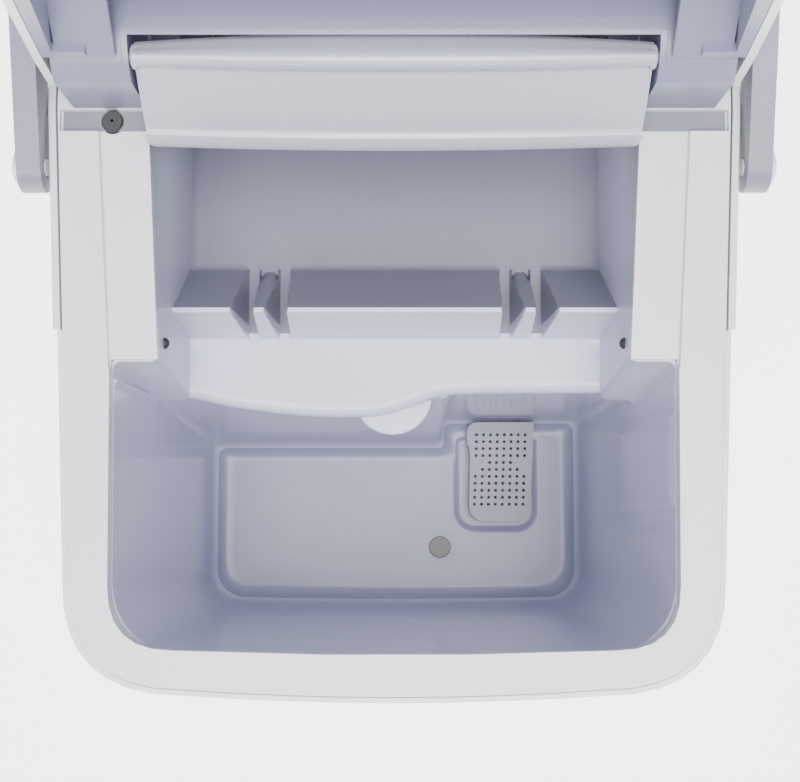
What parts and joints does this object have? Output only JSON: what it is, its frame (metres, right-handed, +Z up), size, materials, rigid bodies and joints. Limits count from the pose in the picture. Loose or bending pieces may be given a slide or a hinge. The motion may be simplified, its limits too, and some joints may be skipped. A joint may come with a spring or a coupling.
{
  "type": "ice maker",
  "caption": "Compact countertop ice maker, lid open: tapered tank with wide rim, ice chamber with guard flap, drain-slotted ridge, rear deck with buttons and folded carry handle.",
  "frame": {"origin": "centre of the bounding box's footprint, at the level of the feet's undersides, with the lid open and the handle folded back", "axes": "+X to the machine's right as seen from the front, +Y to the back, +Z up"},
  "size_m": [0.266, 0.3089, 0.4759],
  "materials": {
    "casing_white": "satin gloss moulded ABS, cool white",
    "liner_plastic": "smooth moulded plastic, cool white with a lavender cast",
    "grey_plastic": "fine matte grain",
    "sheet_steel": "zinc-plated pressed sheet",
    "rubber": "matte",
    "dark_lens": "smoked gloss",
    "circuit_board": "green solder mask",
    "steel_pin": "turned",
    "nickel_plate": "satin nickel plate",
    "dark_plastic": "fine matte grain",
    "black_enamel": "semi-gloss enamel",
    "fin_aluminium": "thin fins",
    "copper": "drawn copper tube, lightly tarnished",
    "hose": "milky silicone",
    "warm_grey_plug": "matte warm grey"
  },
  "bodies": {
    "root": {"base_pan": "sheet_steel", "foot_front_left": "rubber", "foot_front_right": "rubber", "foot_rear_left": "rubber", "foot_rear_right": "rubber", "front_shell": "casing_white", "rear_shell": "casing_white", "rear_grille": "grey_plastic", "top_frame": "casing_white", "water_tank": "liner_plastic", "ice_chamber": "liner_plastic", "evaporator_housing": "liner_plastic", "rear_deck": "casing_white", "control_panel": "grey_plastic", "indicator_lens": "dark_lens", "control_board": "circuit_board", "lid_hinge_pin_left": "steel_pin", "lid_hinge_pin_right": "steel_pin", "evaporator": "nickel_plate", "tray_motor": "dark_plastic", "ir_sensor_left": "dark_plastic", "ir_sensor_right": "dark_plastic", "water_pump": "dark_plastic", "water_hose": "hose", "compressor": "black_enamel", "compressor_foot_1": "rubber", "compressor_foot_2": "rubber", "compressor_foot_3": "rubber", "condenser": "fin_aluminium", "fan_shroud": "dark_plastic", "fan_motor": "dark_plastic", "filter_drier": "copper", "discharge_pipe": "copper", "suction_pipe": "copper", "hot_gas_valve": "sheet_steel", "main_board": "circuit_board", "cord_gland": "rubber", "handle_pivot_left": "casing_white", "handle_pivot_right": "casing_white"},
    "lid": {"lid_shell": "casing_white", "lid_liner": "liner_plastic"},
    "flap": {"guard_flap": "liner_plastic"},
    "handle": {"carry_handle": "casing_white"},
    "tray": {"water_tray": "liner_plastic"},
    "shovel": {"ice_shovel": "liner_plastic"},
    "fan": {"fan_rotor": "dark_plastic"},
    "power_key": {"power_button": "casing_white"},
    "size_key": {"size_button": "casing_white"},
    "clean_key": {"clean_button": "casing_white"},
    "filter_cover": {"pump_cover": "liner_plastic"},
    "drain_stopper": {"drain_plug": "warm_grey_plug"}
  },
  "joints": [
    {"name": "lid_hinge", "type": "hinge", "parent": "root", "child": "lid", "pos_m": [0, 0.07, 0.256], "axis": [1, 0, 0], "range_deg": [0, 95]},
    {"name": "flap_hinge", "type": "hinge", "parent": "root", "child": "flap", "pos_m": [0, 0.06, 0.27], "axis": [-1, 0, 0], "range_deg": [0, 25]},
    {"name": "handle_hinge", "type": "hinge", "parent": "root", "child": "handle", "pos_m": [0, 0.032, 0.236], "axis": [1, 0, 0], "range_deg": [0, 28]},
    {"name": "tray_hinge", "type": "hinge", "parent": "root", "child": "tray", "pos_m": [0, 0.088, 0.205], "axis": [1, 0, 0], "range_deg": [0, 90]},
    {"name": "shovel_hinge", "type": "hinge", "parent": "root", "child": "shovel", "pos_m": [0, 0.1, 0.215], "axis": [1, 0, 0], "range_deg": [0, 33.3]},
    {"name": "fan_spin", "type": "hinge", "parent": "root", "child": "fan", "pos_m": [0.0858, 0.08, 0.085], "axis": [1, 0, 0], "continuous": true},
    {"name": "power_press", "type": "slide", "parent": "root", "child": "power_key", "axis": [0, 0, -1], "range_m": [0, 0.0012], "stiffness_N_per_m": 400},
    {"name": "size_press", "type": "slide", "parent": "root", "child": "size_key", "axis": [0, 0, -1], "range_m": [0, 0.0012], "stiffness_N_per_m": 400},
    {"name": "clean_press", "type": "slide", "parent": "root", "child": "clean_key", "axis": [0, 0, -1], "range_m": [0, 0.0012], "stiffness_N_per_m": 400},
    {"name": "filter_cover_lift", "type": "slide", "parent": "root", "child": "filter_cover", "axis": [0, 0, 1], "range_m": [0, 0.03]},
    {"name": "drain_stopper_pull", "type": "slide", "parent": "root", "child": "drain_stopper", "axis": [0, 0, 1], "range_m": [0, 0.03]}
  ],
  "couplings": [
    {"joint": "shovel_hinge", "follows": "tray_hinge", "ratio": 0.37}
  ]
}
